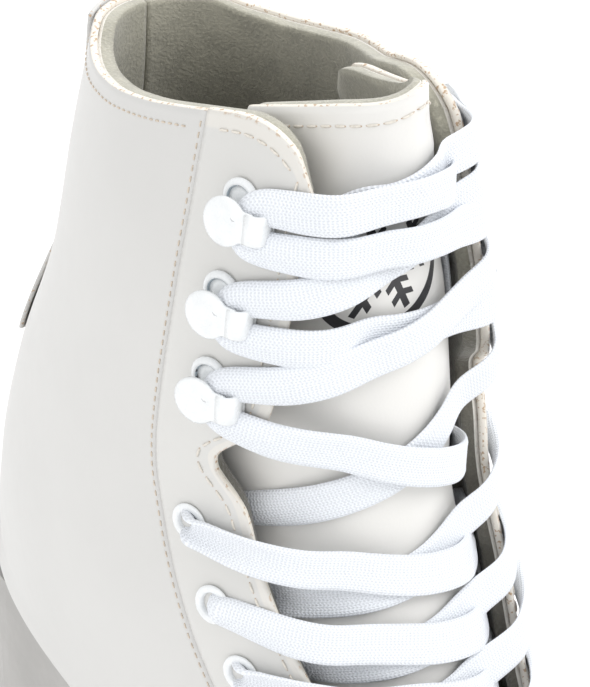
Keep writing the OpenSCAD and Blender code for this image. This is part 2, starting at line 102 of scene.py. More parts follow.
# From the front edge to its row of stitches, along the leather.
EDGE_ROW_INSET = 3.96


def mix(a, b, t):
    return a + (b - a) * t


def ease(t):
    """Smooth step: three t squared less two t cubed, with t held between 0 and 1."""
    s = np.clip(t, 0, 1)
    return s * s * (3 - 2 * s)


def unit(v):
    """Each vector over its own length."""
    return v / np.maximum(np.linalg.norm(v, axis=-1, keepdims=True), 1e-9)


def curve(keys, u):
    """The smooth cubic through evenly spaced keys whose slope at a key is half the step across it."""
    keys = np.asarray(keys, float)
    last = len(keys) - 1
    u = np.asarray(u, float)
    i = np.clip(np.floor(u).astype(int), 0, last - 1)
    t = u - i
    b, c = keys[i], keys[i + 1]
    a = np.where(i > 0, keys[np.maximum(i - 1, 0)], 2 * b - c)
    d = np.where(i + 2 <= last, keys[np.minimum(i + 2, last)], 2 * c - b)
    return 0.5 * (2 * b + (c - a) * t + (2 * a - 5 * b + 4 * c - d) * t**2
                  + (3 * b - a - 3 * c + d) * t**3)


def round_end(x, r):
    return np.sqrt(np.maximum(1 - (np.maximum(x, 0) / r) ** 2, 0))


def sole_half(x):
    """Half width of the sole: a cubic through the keys between two round ends."""
    x = np.asarray(x, float)
    station = np.interp(x, SOLE_X, np.arange(len(SOLE_X)))
    middle = curve(SOLE_W, station)
    heel = SOLE_W[0] * round_end(SOLE_X[0] - x, HEEL_END_R)
    toe = SOLE_W[-1] * round_end(x - SOLE_X[-1], TOE_END_R)
    return np.where(x < SOLE_X[0], heel, np.where(x > SOLE_X[-1], toe, middle))


def sole_edge_z(x):
    """Height of the edge where upper and sole meet: heel level, eased down to the ball, toe spring."""
    return 93 - 27 * ease((x + 55) / 75) + 6 * (np.maximum(x - 60, 0) / 100) ** 2


def press(u, m):
    """Inward press of the left side: full over its front half, eased off towards front and back."""
    return np.interp(u, PRESS_U, PRESS_D) * ease((m + 0.25) / 0.3) * ease((0.62 - m) / 0.18)


def skin(u, v, side, d):
    """A point of the boot in mm. Station u sets a slanted section; v runs round half of it from the
    front line (0) to the back line or the sole's edge (1) as an arc of an ellipse; d is depth."""
    u, v, side, d = np.broadcast_arrays(*[np.asarray(k, float) for k in (u, v, side, d)])
    d = d + press(u, v * side)
    foot = u > HEEL_STATION
    gx = curve(BACK_X, u)
    gz = np.where(foot, sole_edge_z(gx), curve(BACK_Z, u))
    gy = np.where(foot, sole_half(gx), 0)
    front = np.stack([curve(FRONT_X, u), curve(FRONT_Z, u)], -1)
    back = np.stack([gx, gz], -1)
    along = unit(back - front)
    f = front + along * d[..., None]
    g = np.where(foot[..., None], back, back - along * d[..., None])
    w = np.maximum(np.maximum(curve(HALF_W, u), gy * 1.03 + 0.001) - d, 0.5)
    e = np.maximum(gy - d, 0)
    turn = np.pi - np.arcsin(np.clip(e / w, 0, 1))
    t = (1 - np.cos(turn * v)) / (1 - np.cos(turn))
    return np.stack([mix(f[..., 0], g[..., 0], t), side * w * np.sin(turn * v),
                     mix(f[..., 1], g[..., 1], t)], -1)


def skin_m(u, m, d):
    """The same with a signed distance m round from the front, negative on the right side."""
    m = np.asarray(m, float)
    return skin(u, np.abs(m), np.where(m < 0, -1, 1), d)


def rounded(x, keys_x, keys_y, reach):
    """Straight lines through keys with their corners rounded: the mean of five shifted copies."""
    return sum(np.interp(x + reach * k / 2, keys_x, keys_y) for k in (-2, -1, 0, 1, 2)) / 5


def edge_at(u):
    """Front edge of a facing."""
    return rounded(u, EDGE_U, EDGE_V, 0.09)


def seam_at(u):
    """Seam between facing and quarter."""
    return rounded(u, SEAM_U, SEAM_V, 0.2)


def collar_at(v):
    """Station of the collar."""
    return rounded(v, COLLAR_V, COLLAR_U, 0.02)


def stay_at(u):
    """Half width of the backstay."""
    return rounded(u, STAY_U, STAY_V, 0.08)


def vamp_at(v):
    """Station of the seam round the vamp."""
    return VAMP_SEAM - VAMP_SWEEP * v


# ---------------------------------------------------------------- making meshes
def add_object(name, points, faces, body, attributes=None, uv=None, smooth=True):
    """One mesh object from arrays in mm, with point attributes and a UV map in mm."""
    mesh = bpy.data.meshes.new(name)
    mesh.from_pydata((points * MM).tolist(), [], faces.tolist())
    for key, values in (attributes or {}).items():
        layer = mesh.attributes.new(key, "FLOAT", "POINT")
        layer.data.foreach_set("value", np.asarray(values, np.float32).ravel())
    if uv is not None:
        loops = np.zeros(len(mesh.loops), np.int32)
        mesh.loops.foreach_get("vertex_index", loops)
        mesh.uv_layers.new(name="uv").data.foreach_set("uv", uv[loops].astype(np.float32).ravel())
    mesh.polygons.foreach_set("use_smooth", np.full(len(mesh.polygons), smooth))
    mesh.update()
    thing = bpy.data.objects.new(name, mesh)
    bpy.context.scene.collection.objects.link(thing)
    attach(thing, body)
    return thing


def outward(points, faces):
    """Faces turned so that the volume they enclose counts as positive."""
    corners = points[faces]
    normal = np.cross(corners[:, 2] - corners[:, 0], corners[:, 3] - corners[:, 1])
    volume = (corners.mean(1) * normal).sum()
    return faces if volume > 0 else faces[:, ::-1]


def ring_order(rows, columns):
    """Indices of a grid's border, once round."""
    grid = np.arange(rows * columns).reshape(rows, columns)
    return np.concatenate([grid[0, :], grid[1:, -1], grid[-1, -2::-1], grid[-2:0:-1, 0]])


def grid_faces(rows, columns):
    grid = np.arange(rows * columns).reshape(rows, columns)
    return np.stack([grid[:-1, :-1], grid[:-1, 1:], grid[1:, 1:], grid[1:, :-1]], -1).reshape(-1, 4)


def sheet(name, f, na, nb, body, a=None, b=None, wall_rows=3, bulge=0.25):
    """A closed sheet: f(a, b, k) gives its outer face (k 0) and inner face (k 1); between their borders
    a wall bulges out as a half sine. 'rim' is the distance to the border, 'layer' 0, 1 wall or 2."""
    a = np.linspace(0, 1, na + 1) if a is None else a
    b = np.linspace(0, 1, nb + 1) if b is None else b
    A, B = np.meshgrid(a, b, indexing="ij")
    faces_pts = [f(A, B, 0.0), f(A, B, 1.0)]
    rows, columns = A.shape
    outer = faces_pts[0]
    along_a = np.vstack([np.zeros((1, columns)),
                         np.cumsum(np.linalg.norm(np.diff(outer, axis=0), axis=-1), 0)])
    along_b = np.hstack([np.zeros((rows, 1)),
                         np.cumsum(np.linalg.norm(np.diff(outer, axis=1), axis=-1), 1)])
    rim = np.minimum.reduce([along_a, along_a[-1] - along_a, along_b, along_b[:, -1:] - along_b])
    border = ring_order(rows, columns)
    flat = [p.reshape(-1, 3) for p in faces_pts]
    centre = flat[0].mean(0)
    ring0, ring1 = flat[0][border], flat[1][border]
    inside = np.roll(ring0, 1, 0) - np.roll(ring0, -1, 0)
    out = unit(np.cross(inside, ring1 - ring0))
    if ((ring0 - centre) * out).sum() < 0:
        out = -out
    ks = np.linspace(0, 1, wall_rows + 2)[1:-1]
    walls = [mix(ring0, ring1, k) + out * bulge * np.sin(np.pi * k) for k in ks]
    count, size = len(border), rows * columns
    points = np.concatenate(flat + walls)
    layer = np.concatenate([np.zeros(size), np.full(size, 2.0), np.ones(count * len(ks))])
    uv_flat = np.stack([along_b.ravel(), along_a.ravel()], -1)
    uv = np.concatenate([uv_flat, uv_flat] + [uv_flat[border]] * len(ks))
    rims = np.concatenate([rim.ravel(), rim.ravel(), np.zeros(count * len(ks))])
    quads = grid_faces(rows, columns)
    rings = [2 * size + i * count + np.arange(count) for i in range(len(ks))]
    chain = [border] + rings + [size + border]
    strips = [np.stack([np.roll(p, -1), p, q, np.roll(q, -1)], -1)
              for p, q in zip(chain[:-1], chain[1:])]
    faces = np.concatenate([quads, quads[:, ::-1] + size] + strips)
    return add_object(name, points, outward(points, faces), body,
                      {"rim": rims, "layer": layer}, uv)


def tube_faces(rings, around):
    """Quads between neighbouring rings of points, open at both ends."""
    grid = np.arange(rings * around).reshape(rings, around)
    nxt = np.roll(grid, -1, 1)
    return np.stack([grid[:-1], grid[1:], nxt[1:], nxt[:-1]], -1).reshape(-1, 4)


def revolve(profile, segments):
    """Points of a closed profile (radius, height) turned about the local z axis, and its quads."""
    profile = np.asarray(profile, float)
    angle = np.linspace(0, 2 * np.pi, segments, endpoint=False)
    points = np.stack([profile[None, :, 0] * np.cos(angle)[:, None],
                       profile[None, :, 0] * np.sin(angle)[:, None],
                       np.broadcast_to(profile[None, :, 1], (segments, len(profile)))], -1)
    grid = np.arange(segments * len(profile)).reshape(segments, -1)
    right, down = np.roll(grid, -1, 0), np.roll(grid, -1, 1)
    faces = np.stack([grid, right, np.roll(right, -1, 1), down], -1).reshape(-1, 4)
    points = points.reshape(-1, 3)
    return points, outward(points, faces)


def frame_on_skin(u, v, side):
    """Origin and axes of a fitting: x towards the front edge, z out of the leather."""
    origin = skin(u, v, side, 0)
    x = unit(skin(u, v - 0.02, side, 0) - skin(u, v + 0.02, side, 0))
    y = unit(skin(u - 0.05, v, side, 0) - skin(u + 0.05, v, side, 0))
    z = unit(np.cross(x, y))
    z = z * np.sign(z[1] * side)
    return origin, np.stack([x, np.cross(z, x), z], -1)


# ---------------------------------------------------------------- shader expressions
class Wire:
    """A socket that takes part in arithmetic: each operator adds one Math node."""

    def __init__(self, shop, socket):
        self.shop, self.socket = shop, socket

    def _math(self, operation, *values):
        return self.shop.node("ShaderNodeMath", {"operation": operation}, *values)

    def __add__(self, other):
        return self._math("ADD", self, other)

    def __radd__(self, other):
        return self._math("ADD", other, self)

    def __sub__(self, other):
        return self._math("SUBTRACT", self, other)

    def __rsub__(self, other):
        return self._math("SUBTRACT", other, self)

    def __mul__(self, other):
        return self._math("MULTIPLY", self, other)

    def __rmul__(self, other):
        return self._math("MULTIPLY", other, self)

    def __truediv__(self, other):
        return self._math("DIVIDE", self, other)

    def __lt__(self, other):
        return self._math("LESS_THAN", self, other)

    def __gt__(self, other):
        return self._math("GREATER_THAN", self, other)

    def of(self, operation, *others):
        """Any other Math operation, such as SINE, FRACT or ABSOLUTE."""
        return self._math(operation, self, *others)

    def band(self, low, high):
        """0 below low, 1 above high, smooth between."""
        return self.shop.node("ShaderNodeMapRange", {"interpolation_type": "SMOOTHSTEP"},
                              self, low, high, 0.0, 1.0)


class Finish:
    """A material under construction and the shop that adds its nodes."""

    def __init__(self, name, roughness=0.5, metallic=0.0, **constants):
        self.material = bpy.data.materials.new(name)
        self.material.use_nodes = True
        self.tree = self.material.node_tree
        self.shader = self.tree.nodes["Principled BSDF"]
        self.shader.inputs["Roughness"].default_value = roughness
        self.shader.inputs["Metallic"].default_value = metallic
        for key, value in constants.items():
            self.shader.inputs[key.replace("_", " ")].default_value = value

    def node(self, kind, settings=None, *inputs, out=0, **named):
        """Adds a node: its settings first, then values or wires for its sockets in order or by name."""
        made = self.tree.nodes.new(kind)
        for key, value in (settings or {}).items():
            setattr(made, key, value)
        for key, value in list(enumerate(inputs)) + list(named.items()):
            socket = made.inputs[key.replace("_", " ") if isinstance(key, str) else key]
            if isinstance(value, Wire):
                self.tree.links.new(value.socket, socket)
            elif value is not None:
                socket.default_value = value
        return Wire(self, made.outputs[out])

    def place(self):
        return self.node("ShaderNodeTexCoord", out="Object")

    def height(self):
        """Height above the ground in metres."""
        return self.node("ShaderNodeSeparateXYZ", None, self.place(), out=2)

    def attribute(self, name):
        return self.node("ShaderNodeAttribute", {"attribute_name": name}, out="Fac")

    def uv(self):
        """The two wires of the piece's own UV map, in millimetres."""
        vector = self.node("ShaderNodeUVMap", {"uv_map": "uv"})
        return tuple(self.node("ShaderNodeSeparateXYZ", None, vector, out=i) for i in (0, 1))

    def noise(self, scale, detail=3.0, vector=None):
        """Soft noise whose lumps are about 1 / scale mm across."""
        return self.node("ShaderNodeTexNoise", None, vector or self.place(),
                         Scale=scale / MM, Detail=detail)

    def cells(self, scale, feature="F1", vector=None):
        return self.node("ShaderNodeTexVoronoi", {"feature": feature}, vector or self.place(),
                         Scale=scale / MM)

    def blend(self, factor, a, b):
        """A colour between a and b. Colours are (r, g, b) or wires."""
        def value(c):
            return c if isinstance(c, Wire) else (*c, 1.0)
        made = self.tree.nodes.new("ShaderNodeMix")
        made.data_type = "RGBA"
        for index, item in ((0, factor), (6, value(a)), (7, value(b))):
            if isinstance(item, Wire):
                self.tree.links.new(item.socket, made.inputs[index])
            else:
                made.inputs[index].default_value = item
        return Wire(self, made.outputs[2])

    def colour(self, wire):
        """Feed the base colour."""
        self.tree.links.new(wire.socket, self.shader.inputs["Base Color"])

    def rough(self, wire):
        """Feed the roughness."""
        self.tree.links.new(wire.socket, self.shader.inputs["Roughness"])

    def bump(self, height, distance_mm, strength=1.0):
        """Surface relief: height 1 stands distance_mm above height 0."""
        made = self.node("ShaderNodeBump", None, Strength=strength, Distance=distance_mm * MM,
                         Height=height)
        self.tree.links.new(made.socket, self.shader.inputs["Normal"])


def leather(name, colour, edge_colour, roughness=0.42, border=0.0, emblem=None):
    """Smooth coated leather: faint pores and creases, cloudy tone, a cream cut edge with tan specks,
    a band of cream along its border and, if asked for, a printed emblem."""
    f = Finish(name, roughness, Specular_IOR_Level=0.45)
    cloud = f.noise(0.02, 4.0)
    pores = f.cells(1.3)
    crease = f.noise(0.25, 5.0)
    across, along = f.uv()
    wall = f.attribute("layer").band(0.2, 0.8)
    inner = 1 - f.attribute("layer").band(1.1, 1.9)
    specks = f.noise(1.1, 6.0).band(0.56, 0.64)
    edge = f.blend(specks, edge_colour, (0.50, 0.36, 0.24))
    tone = f.blend(cloud.band(0.35, 0.7), colour, tuple(c * 0.965 for c in colour))
    if border:
        nearest = across.of("MINIMUM", along) + f.noise(0.3, 2.0) * 0.3
        near = 1 - nearest.band(border - 0.5, border + 0.4)
        tone = f.blend(near * 0.35, tone, edge_colour)
        grime = (1 - nearest.band(0.1, 0.9)) * f.noise(0.8, 6.0).band(0.5, 0.62)
        tone = f.blend(grime * 0.8, tone, (0.50, 0.36, 0.24))
    if emblem:
        tone = f.blend(snowflake(across - emblem[0], along - emblem[1], emblem[2]) * inner, tone,
                       (0.035, 0.034, 0.036))
    f.colour(f.blend(wall, tone, edge))
    f.rough(crease * 0.12 + (roughness - 0.06) + wall * 0.35)
    f.bump(pores * 0.35 + crease * 1.2 + wall * f.noise(1.5, 5.0) * 2.0, 0.06, 0.5)
    return f.material


def snowflake(x, y, size):
    """Mask of a plain snowflake in a ring: the plane folded six ways, with one arm and its twigs."""
    x, y = x / size, y / size
    radius = (x * x + y * y).of("SQRT")
    fold = y.of("ARCTAN2", x).of("PINGPONG", np.pi / 6)
    out, aside = radius * fold.of("COSINE"), radius * fold.of("SINE")
    ring = ((radius - 0.92).of("ABSOLUTE") < 0.075)
    arm = (aside < 0.05) * (out < 0.78)
    twigs = 0.0
    for start in (0.3, 0.52):
        line = ((out - start) * 0.866 - aside * 0.5).of("ABSOLUTE")
        twigs = (line < 0.045) * (aside < 0.17) + twigs
    return (ring + arm + twigs).of("MINIMUM", 1.0)


def fleece(name, colour):
    """Brushed fleece: matted fibres, soft clumps, painted shade that turns it near-black lower down
    inside the boot, with a white strip where it is glued behind the leather's edge."""
    f = Finish(name, 0.95, Sheen_Weight=0.35, Sheen_Roughness=0.6)
    clump = f.noise(0.16, 6.0)
    fibre = f.noise(1.4, 6.0)
    # Painted shade: below about 245 mm the fleece is blended towards near-black, standing in for the
    # shade deep inside the boot.
    painted_depth_shade = 1 - f.height().band(0.185, 0.245)
    dark = tuple(c * 0.8 for c in colour)
    light = tuple(min(c * 1.15, 1) for c in colour)
    tone = f.blend(clump.band(0.3, 0.7), dark, colour)
    tone = f.blend(fibre.band(0.45, 0.75), tone, light)
    # The painted shade goes into the fleece's colour here.
    tone = f.blend(painted_depth_shade * 0.75, tone, (0.035, 0.03, 0.024))
    f.colour(f.blend(f.attribute("layer").band(0.8, 1.0), (0.78, 0.76, 0.71), tone))
    f.bump(fibre * 0.7 + clump * 0.6, 0.6, 0.9)
    return f.material


def woven(name, colour):
    """Flat tubular braid: slanting yarns that meet in rows of chevrons, with painted shade in the gaps
    between them.
    """
    f = Finish(name, 0.8, Sheen_Weight=0.25, Sheen_Roughness=0.5)
    across, along = f.uv()
    slant = (across * 1.1).of("PINGPONG", 0.55) * 0.9
    yarn = ((along * 1.25 + slant) * 6.2832).of("SINE") * 0.5 + 0.5
    column = ((across * 1.8181) * 6.2832).of("SINE") * 0.5 + 0.5
    height = yarn * 0.6 + column * 0.4
    # Painted shade: the low parts of the braid pattern, between the yarns, are coloured darker.
    gap_shade = tuple(c * 0.84 for c in colour)
    f.colour(f.blend(height.band(0.15, 0.65), gap_shade, colour))
    f.bump(height + f.noise(2.0, 3.0) * 0.3, 0.22, 0.8)
    return f.material


def enamel(name, colour):
    """Painted metal: glossy coat with slight orange peel; inside a rivet's cup, painted shade in dark
    blue-grey with near-black chipped paint.
    """
    f = Finish(name, 0.25, Coat_Weight=0.4, Coat_Roughness=0.12)
    cloud = f.noise(0.3, 3.0)
    paint_tone = f.blend(cloud.band(0.4, 0.7), colour, tuple(c * 0.95 for c in colour))
    # Inside the rivet's cup the white paint is coloured dark blue-grey as painted shade under the head,
    # with near-black patches for chipped paint.
    cup_shade_and_chips = f.blend(f.noise(0.9, 4.0).band(0.52, 0.6), (0.36, 0.42, 0.46), (0.07, 0.07, 0.08))
    f.colour(f.blend(f.attribute("cup").band(0.3, 0.7), paint_tone, cup_shade_and_chips))
    f.rough(f.noise(0.8, 4.0) * 0.15 + 0.2)
    f.bump(f.noise(0.9, 2.0), 0.05, 0.4)
    return f.material


def moulded(name, colour):
    """Moulded sole: satin, fine spark texture, scuffed a little darker."""
    f = Finish(name, 0.5)
    cloud = f.noise(0.03, 5.0)
    f.colour(f.blend(cloud.band(0.35, 0.7), colour, tuple(c * 0.86 for c in colour)))
    f.rough(f.noise(0.4, 4.0) * 0.25 + 0.38)
    f.bump(f.noise(2.5, 4.0), 0.05, 0.6)
    return f.material


def ground_steel(name, roughness):
    """Bright steel with fine grinding marks along its length."""
    f = Finish(name, roughness, 1.0)
    stretch = f.node("ShaderNodeMapping", None, f.place(), Scale=(0.03, 1.0, 1.0))
    marks = f.noise(3.0, 4.0, stretch)
    f.colour(f.blend(marks.band(0.3, 0.7), (0.55, 0.56, 0.58), (0.72, 0.73, 0.75)))
    f.rough(marks * 0.2 + (roughness - 0.05))
    f.bump(marks, 0.02, 0.5)
    return f.material


def thread(name, colour):
    """Twisted sewing thread, with painted shade in tan where its ends go down into the holes."""
    f = Finish(name, 0.75)
    tone = f.blend(f.noise(1.5, 3.0).band(0.4, 0.7), colour, tuple(c * 0.85 for c in colour))
    # Painted shade: the thread turns tan where its ends dip into the holes.
    f.colour(f.blend(f.attribute("end").band(0.6, 0.95), tone, (0.42, 0.29, 0.18)))
    f.bump(f.noise(4.0, 2.0), 0.08, 0.6)
    return f.material


def paint(thing, material):
    """Give a piece its one material."""
    thing.data.materials.clear()
    thing.data.materials.append(material)


def dress(thing, node, material):
    """Let a piece stand for a node and with its material."""
    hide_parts(node)
    paint(thing, material)


# ---------------------------------------------------------------- settings
class SkateSettings(bpy.types.PropertyGroup):
    # The quarters, vamp, backstay, facings and tongue are one white leather; these colours differ only
    # as painted light and shade: the upper darkest as if in shade, the facings a little lighter, the
    # tongue lightest as if lit.
    shaded_leather_colour: FloatVectorProperty(name="Leather", description="Colour of the upper",
                                        subtype="COLOR", default=(0.62, 0.615, 0.60))
    facing_colour: FloatVectorProperty(name="Facings", description="Colour of the facings and tongue",
                                       subtype="COLOR", default=(0.645, 0.64, 0.62))
    lit_tongue_colour: FloatVectorProperty(name="Tongue", description="Colour of the tongue",
                                       subtype="COLOR", default=(0.75, 0.74, 0.715))
    cut_edge_colour: FloatVectorProperty(name="Cut edge", description="Colour of cut leather edges",
                                         subtype="COLOR", default=(0.80, 0.755, 0.68))
    fleece_colour: FloatVectorProperty(name="Fleece", description="Colour of the lining",
                                       subtype="COLOR", default=(0.42, 0.405, 0.33))
    lace_colour: FloatVectorProperty(name="Lace", description="Colour of the lace",
                                     subtype="COLOR", default=(0.83, 0.86, 0.91))
    sole_colour: FloatVectorProperty(name="Sole", description="Colour of the moulded sole",
                                     subtype="COLOR", default=(0.42, 0.41, 0.395))
    metal_colour: FloatVectorProperty(name="Hooks", description="Colour of hooks and eyelets",
                                      subtype="COLOR", default=(0.80, 0.82, 0.83))
    stitch_pitch: FloatProperty(name="Stitch pitch", description="Distance from stitch to stitch",
                                default=3.4 * MM, unit="LENGTH")
    stitch_length: FloatProperty(name="Stitch length", description="Length of one stitch",
                                 default=2.9 * MM, unit="LENGTH")
    thread_colour: FloatVectorProperty(name="Thread", description="Colour of the edge stitching",
                                       subtype="COLOR", default=(0.74, 0.70, 0.63))
    lace_steps: IntProperty(name="Lace steps", description="Rings between two stops of the lace",
                            default=9)
    camera_distance: FloatProperty(name="Camera distance", description="From the camera to the boot",
                                   default=0.560, unit="LENGTH")
    camera_lens: FloatProperty(name="Lens", description="Focal length in millimetres", default=139.3)


# ---------------------------------------------------------------- the upper
def settings():
    return bpy.context.scene.skate


def quarter_sheet(side):
    """The rear panel: from the facing's seam round to the middle of the back, collar to sole."""
    def f(a, b, k):
        w = mix(0.44, 1, b)
        u = mix(collar_at(w), vamp_at(w), a)
        v = mix(seam_at(u) + 0.0005, 0.9985, b)
        return skin(u, v, side, k * LEATHER_T)
    return f


def facing_sheet(side):
    """The lace facing: from the front edge with its relief notch back to the seam."""
    def f(a, b, k):
        u = mix(collar_at(mix(0.27, 0.43, b)), vamp_at(mix(0.13, 0.25, b)), a)
        v = mix(edge_at(u), seam_at(u) - 0.0005, b)
        return skin(u, v, side, k * LEATHER_T)
    return f


def vamp_sheet(depth, thick, front_cut=0.0):
    """The forefoot panel, over the toes from one sole edge to the other."""
    def f(a, b, k):
        m = mix(-1, 1, b)
        u = mix(vamp_at(np.abs(m)) + 0.03, TOE_STATION - front_cut, a)
        return skin_m(u, m, depth + k * thick)
    return f


def backstay_sheet(a, b, k):
    """The strip up the back seam, which widens to a lobe over the heel."""
    w = mix(-1, 1, b)
    u = mix(collar_at(1.0) - 0.02, STAY_U[-1], a)
    depth = -BACKSTAY_GAP - (1 - k) * BACKSTAY_T
    return skin(u, 1 - stay_at(u) * np.abs(w), np.where(w < 0, -1, 1), depth)


class SKATE_OT_upper(bpy.types.Operator):
    """Build the leather panels of the upper"""

    bl_idname = "skate.upper"
    bl_label = "Upper"

    def execute(self, context):
        s = settings()
        # Painted shade: the quarters, vamp and backstay take the darker copy of the white leather, the
        # facings a lighter copy.
        coated = leather("coated_leather", tuple(s.shaded_leather_colour), tuple(s.cut_edge_colour))
        bright = leather("facing_leather", tuple(s.facing_colour), tuple(s.cut_edge_colour), 0.36, 3.4)
        for word, side in SIDES.items():
            quarter = sheet(f"quarter_panel_{word}", quarter_sheet(side), 150, 60, "boot")
            facing = sheet(f"facing_panel_{word}", facing_sheet(side), 260, 24, "boot")
            dress(quarter, f"quarter_{word}", coated)
            dress(facing, f"facing_{word}", bright)
        vamp = sheet("vamp_panel", vamp_sheet(0, LEATHER_T), 80, 120, "boot")
        dress(vamp, "vamp", coated)
        stay = sheet("backstay_strip", backstay_sheet, 90, 40, "boot")
        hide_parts("backstay")
        paint(stay, leather("strip_leather", tuple(s.shaded_leather_colour), tuple(s.shaded_leather_colour)))
        return {"FINISHED"}


class SKATE_OT_linings(bpy.types.Operator):
    """Build the fleece linings, the footbed's cover and the stiffeners"""

    bl_idname = "skate.linings"
    bl_label = "Linings"

    def execute(self, context):
        soft = fleece("brushed_fleece", tuple(settings().fleece_colour))
        for word, side in SIDES.items():
            def f(a, b, k, side=side):
                u = mix(collar_at(mix(0.27, 1, b)) + 0.03, vamp_at(mix(0.13, 1, b)) - 0.02, a)
                v = mix(edge_at(u) + 0.006, 0.997, b)
                return skin(u, v, side, LEATHER_T + 0.1 + k * (STACK_T - LEATHER_T - 0.1))
            lining = sheet(f"fleece_lining_{word}", f, 130, 60, "boot")
            dress(lining, f"lining_{word}", soft)
        toe = sheet("fleece_lining_vamp", vamp_sheet(LINING_D, LINING_T, 0.15), 50, 80, "boot")
        dress(toe, "vamp_lining", soft)
        fibre_board = moulded("fibre_board", (0.36, 0.25, 0.15))
        for name in ("heel_counter", "toe_stiffener", "lasting_board"):
            paint(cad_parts[name], fibre_board)
        # The footbed takes the fleece with its painted shade, near-black this low down.
        paint(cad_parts["footbed"], soft)
        return {"FINISHED"}


# ---------------------------------------------------------------- the tongue
TONGUE_M = [-0.45, -0.396, -0.316, -0.25, -0.18, -0.08, 0.05, 0.17, 0.32, 0.43, 0.48, 0.53]
TONGUE_U = [0.05, -0.05, -0.17, -0.25, -0.3, -0.38, -0.36, -0.25, -0.13, -0.05, 0.08, 0.4]
TONGUE_ROOT = 7.3


def tongue_top(m):
    """Station of the tongue's top edge."""
    return rounded(m, TONGUE_M, TONGUE_U, 0.03)


def tongue_reach(u, w):
    """How far round the tongue reaches on the side that w names."""
    return np.where(w < 0, mix(0.42, 0.25, ease((u - 1) / 5)), mix(0.53, 0.25, ease((u + 0.3) / 5)))


def tongue_place(u, m, d):
    """A point of the tongue, whose root sinks under the vamp."""
    return skin_m(u, m, d + 2 * ease((u - 4) / 2))


def tongue_sheet(d0, d1, trim):
    """The tongue's shell from its free top edge to its root; w runs from its right edge to its left."""
    def f(a, b, k):
        w = mix(-1, 1, b)
        u = mix(tongue_top(w * tongue_reach(0, w)) + trim, TONGUE_ROOT, a)
        return tongue_place(u, w * (tongue_reach(u, w) - trim / 2), mix(d0, d1, k))
    return f


class SKATE_OT_tongue(bpy.types.Operator):
    """Build the tongue and its padded lining"""

    bl_idname = "skate.tongue"
    bl_label = "Tongue"

    def execute(self, context):
        s = settings()
        # Painted light: the tongue takes the lightest copy of the white leather.
        smooth = leather("tongue_leather", tuple(s.lit_tongue_colour), tuple(s.cut_edge_colour), 0.38,
                         emblem=(42, 37, 15))
        soft = bpy.data.materials["brushed_fleece"]
        front = sheet("tongue_front", tongue_sheet(TONGUE_D, TONGUE_D + TONGUE_T, 0), 130, 110, "tongue")
        back = sheet("tongue_fleece", tongue_sheet(TONGUE_D + TONGUE_T + 0.1,
                     TONGUE_D + TONGUE_T + 0.1 + TONGUE_PAD_T, 0.01), 110, 90, "tongue")
        dress(front, "tongue", smooth)
        dress(back, "tongue_lining", soft)
        return {"FINISHED"}


# ---------------------------------------------------------------- the lace
RUN_OVER = -1.7
RUN_UNDER = 7.3
CROSS_HIGH = 4.5
CROSS_LOW = 6.6
HOOK_HALF = 0.13
HOOK_BOW = 0.12
CROSS_T = [0.1, 0.2, 0.3, 0.4, 0.5, 0.6, 0.7, 0.8, 0.9]


def under(u):
    """Depth of the lace where it comes up to an eyelet."""
    return RUN_UNDER + 1.2 * float(ease((u - 4) / 1.5))


def over_left(side):
    """Depth at which the strands from one side cross the middle."""
    return CROSS_HIGH if side < 0 else CROSS_LOW


def crossing(side, u0, v0, u1, v1, centre, start_d, end_d, bow=0.0):
    """Stops of one strand from one facing to the other: it dips from the facing to the tongue and
    bows upwards as a parabola of the given height."""
    stops = []
    for t in CROSS_T:
        u, m = mix(u0, u1, t) - 4 * bow * t * (1 - t), side * mix(v0, -v1, t)
        dip = ease((abs(m) - edge_at(u) + 0.14) / 0.13)
        stops.append([u, m, float(mix(centre, start_d if m * side > 0 else end_d, dip)), LACE_W, 0])
    return stops


def hook_wrap(i, side):
    """Round the far side of a hook's stem, gathered narrow."""
    u, v = HOOK_U[side][i], HOOK_V[side][i]
    return [[u - HOOK_HALF, side * (v + 0.01), RUN_OVER - 1, 6.4, 0],
            [u, side * (v + 0.018), RUN_OVER - 1, 5, 0],
            [u + HOOK_HALF, side * (v + 0.01), RUN_OVER - 1, 6.4, 0]]


def eyelet_pass(j, side):
    """Up through an eyelet's bore, which folds the lace, and back over the facing."""
    u, v = EYELET_U[j], EYELET_V[j]
    return [[u, side * (v - 0.018), under(u), 6, 0], [u, side * (v - 0.001), under(u), 5, 0],
            [u, side * v, 2.4, 4.2, 1],
            [u, side * (v - 0.001), RUN_OVER - 0.4, 5, 0],
            [u + 0.02, side * (v - 0.02), RUN_OVER, 6.5, 0]]


